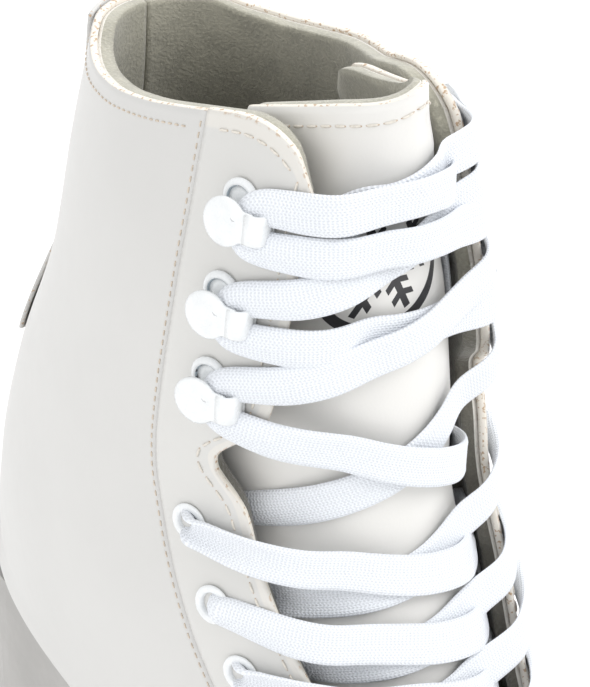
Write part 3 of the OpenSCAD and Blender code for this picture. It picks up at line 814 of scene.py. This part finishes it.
def half_stops(side):
    """One half of the lace, from its tucked end down to the last eyelet."""
    centre = over_left(side)
    stops = [[u, -side * m, RUN_UNDER, LACE_W, 0] for u, m in ((1.6, 0.31), (1.2, 0.3), (0.75, 0.275))]
    stops += crossing(-side, 0.45, 0.25, HOOK_U[side][0] - HOOK_HALF, HOOK_V[side][0] + 0.01, centre,
                      RUN_UNDER, RUN_OVER, HOOK_BOW)
    here = side
    for i in range(2):
        stops += hook_wrap(i, here)
        stops += crossing(here, HOOK_U[here][i] + HOOK_HALF, HOOK_V[here][i] + 0.01,
                          HOOK_U[-here][i + 1] - HOOK_HALF, HOOK_V[-here][i + 1] + 0.01, centre,
                          RUN_OVER, RUN_OVER, HOOK_BOW)
        here = -here
    stops += hook_wrap(2, here)
    stops += crossing(here, HOOK_U[here][2] + HOOK_HALF, HOOK_V[here][2] + 0.01, EYELET_U[0],
                      EYELET_V[0] - 0.03, centre, RUN_OVER, RUN_UNDER, HOOK_BOW)
    stops += eyelet_pass(0, -here)
    here = -here
    for j in range(1, len(EYELET_U)):
        stops += crossing(here, EYELET_U[j - 1] + 0.02, EYELET_V[j - 1] - 0.02, EYELET_U[j],
                          EYELET_V[j] - 0.03, over_left(here), RUN_OVER, under(EYELET_U[j]))
        stops += eyelet_pass(j, -here)
        here = -here
    return stops


def lace_stops():
    """The whole lace: one half down, a straight bar at the toe end, the other half back up."""
    bar = [[EYELET_U[-1] + 0.12, m, float(mix(3.4, RUN_OVER, ease(abs(m) / 0.1))), LACE_W, 0]
           for m in (0.18, 0.14, 0.1, 0.06, 0.02, -0.02, -0.06, -0.1, -0.14, -0.18)]
    return np.array(half_stops(-1) + bar + half_stops(1)[::-1])


def smooth_rows(values, passes):
    """Rows averaged with their neighbours, one quarter, one half, one quarter, several times over."""
    values = values.copy()
    for _ in range(passes):
        values[1:-1] = 0.25 * values[:-2] + 0.5 * values[1:-1] + 0.25 * values[2:]
    return values


def true_normal(u, m, d):
    """Unit normal of the layer at depth d, pointing out of the boot."""
    down = skin_m(u + 0.04, m, d) - skin_m(u - 0.04, m, d)
    over = skin_m(u, m + 0.01, d) - skin_m(u, m - 0.01, d)
    n = unit(np.cross(down, over))
    return n * np.sign((n * (skin_m(u, m, d - 1) - skin_m(u, m, d))).sum(-1, keepdims=True))


def lace_path(steps):
    """Centre line, width and width direction of the lace at even steps between its stops. The
    direction at a stop is square to the run and to the surface; in a bore it keeps to the side the
    lace came in by, so that the lace turns over at every eyelet without a twist."""
    stops = lace_stops()
    u, m, d, width, bore = stops.T
    place = skin_m(u, m, d)
    heading = unit(np.concatenate([place[1:2] - place[:1], place[2:] - place[:-2],
                                   place[-1:] - place[-2:-1]]))
    out = true_normal(u, m, d)
    forward = unit(skin_m(u, m * 0.98, d) - skin_m(u, m * 1.02, d))
    face = np.where(bore[:, None] == 1,
                    forward * np.where((heading * out).sum(-1, keepdims=True) < 0, -1, 1), out)
    turned = np.where((np.cumsum(bore) - bore) % 2 == 0, 1, -1)[:, None]
    across = unit(np.cross(heading, face)) * turned
    t = np.linspace(0, len(stops) - 1, (len(stops) - 1) * steps + 1)
    fine = np.stack([curve(stops[:, i], t) for i in range(3)], -1)
    path = smooth_rows(skin_m(fine[:, 0], fine[:, 1], fine[:, 2]), steps)
    bend = np.stack([np.interp(t, np.arange(len(stops)), across[:, i]) for i in range(3)], -1)
    wide = np.interp(t, np.arange(len(stops)), width)[:, None]
    along = unit(np.gradient(path, axis=0))
    bend = smooth_rows(bend, 4 * steps)
    bend = unit(bend - along * (bend * along).sum(-1, keepdims=True))
    return path, along, bend, np.clip(smooth_rows(wide, 3 * steps)[:, 0], 3.6, LACE_W)


def lace_mesh(steps, around=24, thickness=1.15):
    """A flat braid. Its section is an arc whose length stays the lace's full width while its chord
    narrows at hooks and eyelets; the two faces lie half the thickness to each side of the arc, with
    a ridge near each selvedge and a round edge."""
    path, along, across, width = lace_path(steps)
    up = np.cross(across, along)
    curl = np.linspace(0.02, 2.4, 400)
    bend = np.interp(width / LACE_W, (np.sin(curl) / curl)[::-1], curl[::-1])
    half = around // 2
    q = -np.cos(np.linspace(0, np.pi, half + 1))
    q = np.concatenate([q, q[-2:0:-1]])
    face = np.concatenate([np.ones(half + 1), -np.ones(half - 1)])
    body = np.sqrt(np.maximum(1 - q**8, 0)) * (1 + 0.16 * np.exp(-((np.abs(q) - 0.72) / 0.12) ** 2))
    radius = LACE_W / (2 * bend)
    angle = bend[:, None] * q[None, :]
    reach = radius[:, None] + face[None, :] * body[None, :] * thickness / 2
    x = reach * np.sin(angle)
    z = reach * np.cos(angle) - radius[:, None] * np.cos(bend * 0.5)[:, None]
    points = path[:, None] + across[:, None] * x[..., None] + up[:, None] * z[..., None]
    run = np.concatenate([[0], np.cumsum(np.linalg.norm(np.diff(path, axis=0), axis=-1))])
    uv = np.stack([np.broadcast_to((q * LACE_W / 2)[None, :], x.shape),
                   np.broadcast_to(run[:, None], x.shape)], -1).reshape(-1, 2)
    pairs = np.arange(1, half)
    cap = np.stack([pairs - 1, pairs, around - pairs, (around - pairs + 1) % around], -1)
    last = (len(path) - 1) * around
    faces = np.concatenate([tube_faces(len(path), around), cap, cap[:, ::-1] + last])
    points = points.reshape(-1, 3)
    return points, outward(points, faces), uv, run[-1]


class SKATE_OT_lace(bpy.types.Operator):
    """Build the flat lace along its whole route"""

    bl_idname = "skate.lace"
    bl_label = "Lace"

    def execute(self, context):
        s = settings()
        points, faces, uv, length = lace_mesh(s.lace_steps)
        lace = add_object("flat_lace", points, faces, "boot", uv=uv)
        dress(lace, "lace", woven("woven_lace", tuple(s.lace_colour)))
        paint(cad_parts["aglets"], enamel("lace_tip", tuple(s.lace_colour)))
        print("lace length mm", round(length))
        return {"FINISHED"}


# ---------------------------------------------------------------- hooks and eyelets
def eyelet_profile():
    """Rolled eyelet: a domed outer flange, a barrel and a flat inner flange."""
    turn = np.linspace(-0.6, 2.6, 9)
    lip = np.stack([3.4 + 0.85 * np.cos(turn), 0.55 + 0.5 * np.sin(turn)], -1)
    barrel = [(2.5, 0.3), (2.5, -STACK_T - 0.5), (3.0, -STACK_T - 0.9), (3.9, -STACK_T - 0.7),
              (3.9, -STACK_T - 0.25), (3.0, -STACK_T - 0.2), (3.0, 0.2)]
    return np.concatenate([lip, barrel])


def smooth_ring(values, passes):
    """A closed row of points averaged with their neighbours."""
    for _ in range(passes):
        values = 0.25 * np.roll(values, 1, 0) + 0.5 * values + 0.25 * np.roll(values, -1, 0)
    return values


def pillow(outline, centre, low, top, droop, rows=9):
    """A slab with the given outline: flat below, its upper face falling off with the fourth power of
    the way out from the centre, and a rounded edge."""
    columns = len(outline)
    out = np.linspace(0.3, 1, rows)
    flat = centre + (outline - centre) * np.concatenate([out, out[::-1] * 0.995])[:, None, None]
    height = np.concatenate([top - droop * out**4, np.full(rows, low)])
    points = np.concatenate([flat, np.broadcast_to(height[:, None, None], (2 * rows, columns, 1))], -1)
    return closed_ends(points.reshape(-1, 3), 2 * rows, columns)


def closed_ends(points, rings, around):
    """A tube of rings with both ends closed by strips of quads."""
    pairs = np.arange(1, around // 2)
    cap = np.stack([pairs - 1, pairs, around - 1 - pairs, around - pairs], -1)
    faces = np.concatenate([tube_faces(rings, around), cap, cap[:, ::-1] + (rings - 1) * around])
    return points, outward(points, faces)


def hook_head():
    """A round lobe whose outline runs on into the straight sides of a tab."""
    start = np.arcsin(TAB_HALF / HEAD_R)
    turn = np.linspace(start, 2 * np.pi - start, 44)
    lobe = np.stack([HEAD_R * np.cos(turn) + HEAD_X, HEAD_R * np.sin(turn)], -1)
    side = np.stack([np.linspace(0, 2.7, 5), np.full(5, -TAB_HALF)], -1)
    end = np.stack([np.full(6, 2.75), np.linspace(-2.7, 2.7, 6)], -1)
    outline = np.concatenate([lobe, side, end, side[::-1] * [1, -1]])
    return pillow(smooth_ring(outline, 2), np.array([-2.5, 0.0]), HEAD_Z, HEAD_Z + 1.15, 0.5)


def hook_stem():
    """The strip of metal that rises from the base and turns over into the head's tab."""
    turn = np.linspace(0, np.pi / 2, 9)
    bend = np.stack([3.85 - 1.7 * (1 - np.cos(turn)), 3.15 + 1.7 * np.sin(turn)], -1)
    middle = np.concatenate([[[3.85, 0.4], [3.85, 1.8]], bend, [[0.8, 4.85]]])
    ahead = unit(np.gradient(middle, axis=0))
    aside = np.stack([ahead[:, 1], -ahead[:, 0]], -1)
    rings = [np.insert(middle + aside * t, 1, y, 1)
             for y, t in ((-3.0, -0.3), (-2.7, -0.55), (2.7, -0.55), (3.0, -0.3),
                          (3.0, 0.3), (2.7, 0.55), (-2.7, 0.55), (-3.0, 0.3))]
    return closed_ends(np.stack(rings, 1).reshape(-1, 3), len(middle), 8)


def hook_base(up):
    """The riveted base: a rolled ring round the hollow rivet and a strip to the stem's foot."""
    ring, faces = revolve([(0.3, 0.15), (2.5, 0.2), (2.7, 1.0), (3.0, 1.3), (3.5, 1.2), (4.1, 0.75),
                           (4.2, 0.4), (4.1, 0.12), (1.7, 0.1), (1.7, -STACK_T - 0.35),
                           (3.5, -STACK_T - 0.4), (3.4, -STACK_T - 1.1), (0.3, -STACK_T - 1.0)], 40)
    rivet = np.array([RIVET_X, up * RIVET_Y])
    turn = np.linspace(0.5 * np.pi, 1.5 * np.pi, 16)
    back = rivet + 2.6 * np.stack([np.cos(turn), np.sin(turn)], -1)
    foot = np.array([[4.4, -2.6], [4.45, -0.9], [4.45, 0.9], [4.4, 2.6]])
    strip = pillow(np.concatenate([back, foot]), np.array([0.4, up * 1.2]), 0.12, 0.95, 0.25, 5)
    return [(ring + [*rivet, 0], faces), strip]


def join(parts):
    """Several (points, faces) put into one pair of arrays."""
    points, faces, start = [], [], 0
    for p, q in parts:
        points.append(p)
        faces.append(q + start)
        start += len(p)
    return np.concatenate(points), np.concatenate(faces)


def fitted(parts, u, v, side):
    """Parts joined and set down on the leather at station u and distance v."""
    origin, axes = frame_on_skin(u, v, side)
    points, faces = join(parts)
    placed = origin + points @ axes.T
    return placed, faces


class SKATE_OT_fittings(bpy.types.Operator):
    """Build the lace hooks and the eyelets"""

    bl_idname = "skate.fittings"
    bl_label = "Hooks and eyelets"

    def execute(self, context):
        white = enamel("white_enamel", tuple(settings().metal_colour))
        for word, side in SIDES.items():
            rings = [fitted([revolve(eyelet_profile(), 48)], u, v, side)
                     for u, v in zip(EYELET_U, EYELET_V)]
            eyelets = add_object(f"rolled_eyelets_{word}", *join(rings), "boot")
            dress(eyelets, f"eyelets_{word}", white)
            for i, (u, v) in enumerate(zip(HOOK_U[side], HOOK_V[side])):
                parts = [hook_head(), hook_stem(), *hook_base(-side)]
                # Marks the rivet's cup, where the enamel paints painted shade in blue-grey and chipped
                # paint.
                cup = [np.zeros(len(p)) for p, _ in parts]
                ring = parts[2][0] - [RIVET_X, -side * RIVET_Y, 0]
                cup[2] = (np.hypot(ring[:, 0], ring[:, 1]) < 2.8) & (ring[:, 2] > 0)
                hook = add_object(f"lace_hook_{i + 1}_{word}", *fitted(parts, u, v, side), "boot",
                                  {"cup": np.concatenate(cup)})
                dress(hook, f"hook_{i + 1}_{word}", white)
        return {"FINISHED"}


# ---------------------------------------------------------------- stitching
def stitch_row(points, normals, pitch, length, radius):
    """Capsule stitches laid along a line: each is a short arc of thread whose ends dip into holes.
    Also gives how far along its stitch each point lies, 0 in the middle and 1 at an end."""
    run = np.concatenate([[0], np.cumsum(np.linalg.norm(np.diff(points, axis=0), axis=-1))])
    at = np.arange(pitch / 2, run[-1] - length / 2, pitch)
    p = np.stack([np.interp(at, run, points[:, i]) for i in range(3)], -1)
    n = unit(np.stack([np.interp(at, run, normals[:, i]) for i in range(3)], -1))
    ahead = np.stack([np.interp(at + 0.3, run, points[:, i]) - np.interp(at - 0.3, run, points[:, i])
                      for i in range(3)], -1)
    ahead = unit(ahead - n * (ahead * n).sum(-1, keepdims=True))
    wide = np.cross(n, ahead)
    s = np.linspace(-1, 1, 7)
    turn = np.linspace(0, 2 * np.pi, 6, endpoint=False)
    thick = radius * np.sqrt(np.maximum(1 - s**4, 0.05))
    lift = 0.6 * radius - 1.3 * radius * s**4
    x = (s * length / 2)[:, None] + 0 * turn[None]
    y = thick[:, None] * np.cos(turn)[None]
    z = lift[:, None] + 0.8 * thick[:, None] * np.sin(turn)[None]
    local = np.stack([x, y, z], -1).reshape(-1, 3)
    axes = np.stack([ahead, wide, n], 1)
    placed = p[:, None] + np.einsum("lk,skj->slj", local, axes)
    quads = tube_faces(7, 6)
    ends = np.array([[0, 1, 2, 3], [0, 3, 4, 5], [36, 39, 38, 37], [36, 41, 40, 39]])
    quads = outward(local, np.concatenate([quads, ends]))
    count = len(local)
    faces = quads[None] + (np.arange(len(p)) * count)[:, None, None]
    return placed.reshape(-1, 3), faces.reshape(-1, 4), np.tile(np.repeat(np.abs(s), 6), len(p))


def sewn(name, body, rows, pitch, length, radius, material):
    """One object with the stitches of several rows."""
    made = [stitch_row(*row, pitch, length, radius) for row in rows]
    points, faces = join([m[:2] for m in made])
    thing = add_object(name, points, faces, body, {"end": np.concatenate([m[2] for m in made])})
    paint(thing, material)


def row_on_skin(u, m, d):
    """A line on the boot and its outward normals, from stations u and signed distances m."""
    points = skin_m(u, m, d)
    du = skin_m(u + 0.02, m, d) - skin_m(u - 0.02, m, d)
    dm = skin_m(u, m + 0.004, d) - skin_m(u, m - 0.004, d)
    normal = unit(np.cross(du, dm))
    flip = np.sign((normal * (skin_m(u, m, d - 1) - skin_m(u, m, d + 1))).sum(-1, keepdims=True))
    return points, normal * flip


class SKATE_OT_stitching(bpy.types.Operator):
    """Sew the stitch rows of the upper and the tongue"""

    bl_idname = "skate.stitching"
    bl_label = "Stitching"

    def execute(self, context):
        s = settings()
        pitch, length = s.stitch_pitch / MM, s.stitch_length / MM
        pale = thread("pale_thread", tuple(s.thread_colour))
        tan = thread("tan_thread", (0.64, 0.56, 0.46))
        seams, edges = [], []
        for side in SIDES.values():
            u = np.linspace(0.02, 7.0, 500)
            seams.append(row_on_skin(u, side * (seam_at(u) + 0.006), 0))
            v = np.linspace(0.46, 0.985, 160)
            seams.append(row_on_skin(collar_at(v) + 0.13, side * v, 0))
            u = np.linspace(0.16, 6.9, 500)
            chord = skin(u, edge_at(u) + 0.5, side, 0) - skin(u, edge_at(u), side, 0)
            inset = 0.5 * EDGE_ROW_INSET / np.linalg.norm(chord, axis=-1)
            inner = smooth_rows((edge_at(u) + inset)[:, None], 16)[:, 0]
            edges.append(row_on_skin(u, side * inner, 0))
            v = np.linspace(0.3, 0.425, 60)
            edges.append(row_on_skin(collar_at(v) + 0.11, side * v, 0))
        m = np.linspace(-0.4, 0.44, 200)
        top = row_on_skin(tongue_top(m) + 0.13, m, TONGUE_D)
        sewn("seam_stitches", "boot", seams, pitch * 0.65, length * 0.5, 0.2, tan)
        sewn("edge_stitches", "boot", edges, pitch, length, 0.27, pale)
        sewn("tongue_stitches", "tongue", [top], pitch, length, 0.27, pale)
        return {"FINISHED"}


# ---------------------------------------------------------------- sole and blade
class SKATE_OT_sole(bpy.types.Operator):
    """Finish the sole, the blade and their screws"""

    bl_idname = "skate.sole"
    bl_label = "Sole and blade"

    def execute(self, context):
        s = settings()
        paint(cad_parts["sole_unit"], moulded("moulded_sole", tuple(s.sole_colour)))
        paint(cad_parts["runner"], ground_steel("runner_steel", 0.18))
        plate = ground_steel("plate_steel", 0.32)
        for name in ("sole_plate", "heel_plate", "sole_screws", "heel_screws", "shank"):
            paint(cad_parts[name], plate)
        return {"FINISHED"}


# ---------------------------------------------------------------- stage
CAMERA_TARGET = Vector((-0.016, 0.005, 0.189))
CAMERA_TURN = 52.73
CAMERA_TILT = 36.78
CAMERA_ROLL = 6.19


def area_light(name, place, aim, size, power, colour=(1, 1, 1)):
    lamp = bpy.data.lights.new(name, "AREA")
    lamp.shape = "DISK"
    lamp.size = size
    lamp.energy = power
    lamp.color = colour
    thing = bpy.data.objects.new(name, lamp)
    thing.location = place
    thing.rotation_euler = (Vector(aim) - Vector(place)).to_track_quat("-Z", "Y").to_euler()
    bpy.context.scene.collection.objects.link(thing)


class SKATE_OT_stage(bpy.types.Operator):
    """Set the floor, the lights and the camera"""

    bl_idname = "skate.stage"
    bl_label = "Stage"

    def execute(self, context):
        s = settings()
        turn, tilt, roll = np.radians([CAMERA_TURN, CAMERA_TILT, CAMERA_ROLL])
        right = np.array([np.cos(turn), np.sin(turn), 0])
        ahead = np.array([-np.sin(turn) * np.cos(tilt), np.cos(turn) * np.cos(tilt), -np.sin(tilt)])
        up = np.cross(right, ahead)
        rolled = right * np.cos(roll) + up * np.sin(roll)
        rolled_up = up * np.cos(roll) - right * np.sin(roll)
        lens = bpy.data.cameras.new("camera")
        lens.lens = s.camera_lens
        lens.sensor_width = 36
        lens.clip_start = 0.01
        camera = bpy.data.objects.new("camera", lens)
        camera.matrix_world = Matrix([[*row, 0] for row in np.stack([rolled, rolled_up, -ahead], 1)]
                                     + [[0, 0, 0, 1]])
        camera.location = CAMERA_TARGET - Vector(ahead) * s.camera_distance
        bpy.context.scene.collection.objects.link(camera)
        bpy.context.scene.camera = camera

        x, y = np.meshgrid(np.linspace(-6000, 6000, 3), np.linspace(-6000, 6000, 3), indexing="ij")
        floor_points = np.stack([x, y, 0 * x - 0.2], -1).reshape(-1, 3)
        mesh = bpy.data.meshes.new("floor")
        mesh.from_pydata((floor_points * MM).tolist(), [], grid_faces(3, 3)[:, ::-1].tolist())
        floor = bpy.data.objects.new("floor", mesh)
        bpy.context.scene.collection.objects.link(floor)
        pale = Finish("pale_floor", 0.9)
        pale.shader.inputs["Base Color"].default_value = (0.93, 0.93, 0.93, 1)
        paint(floor, pale.material)

        world = bpy.data.worlds.new("studio")
        world.use_nodes = True
        world.node_tree.nodes["Background"].inputs[0].default_value = (1, 1, 1, 1)
        world.node_tree.nodes["Background"].inputs[1].default_value = 0.95
        bpy.context.scene.world = world
        aim = (0, 0, 0.17)
        area_light("key", (0.7, 0.5, 1.3), aim, 0.8, 9)
        area_light("fill", (0.2, -1.4, 0.6), aim, 1.2, 4)
        area_light("back", (-0.9, 0.6, 0.9), aim, 0.9, 6)
        bpy.context.scene.view_settings.view_transform = "Standard"
        return {"FINISHED"}


class SKATE_PT_panel(bpy.types.Panel):
    """Lists the steps that build the skate"""

    bl_idname = "SKATE_PT_panel"
    bl_label = "Figure Skate"
    bl_space_type = "VIEW_3D"
    bl_region_type = "UI"
    bl_category = "Skate"

    def draw(self, context):
        for step in STEPS:
            self.layout.operator(step.bl_idname)


STEPS = (SKATE_OT_stage, SKATE_OT_lace, SKATE_OT_upper, SKATE_OT_linings, SKATE_OT_tongue,
         SKATE_OT_fittings, SKATE_OT_stitching, SKATE_OT_sole)
CLASSES = (SkateSettings, *STEPS, SKATE_PT_panel)


def register():
    for item in CLASSES:
        bpy.utils.register_class(item)
    bpy.types.Scene.skate = PointerProperty(type=SkateSettings)


def unregister():
    del bpy.types.Scene.skate
    for item in reversed(CLASSES):
        bpy.utils.unregister_class(item)


def main():
    register()
    for step in STEPS:
        group, word = step.bl_idname.split(".")
        getattr(getattr(bpy.ops, group), word)()


if __name__ == "__main__":
    main()
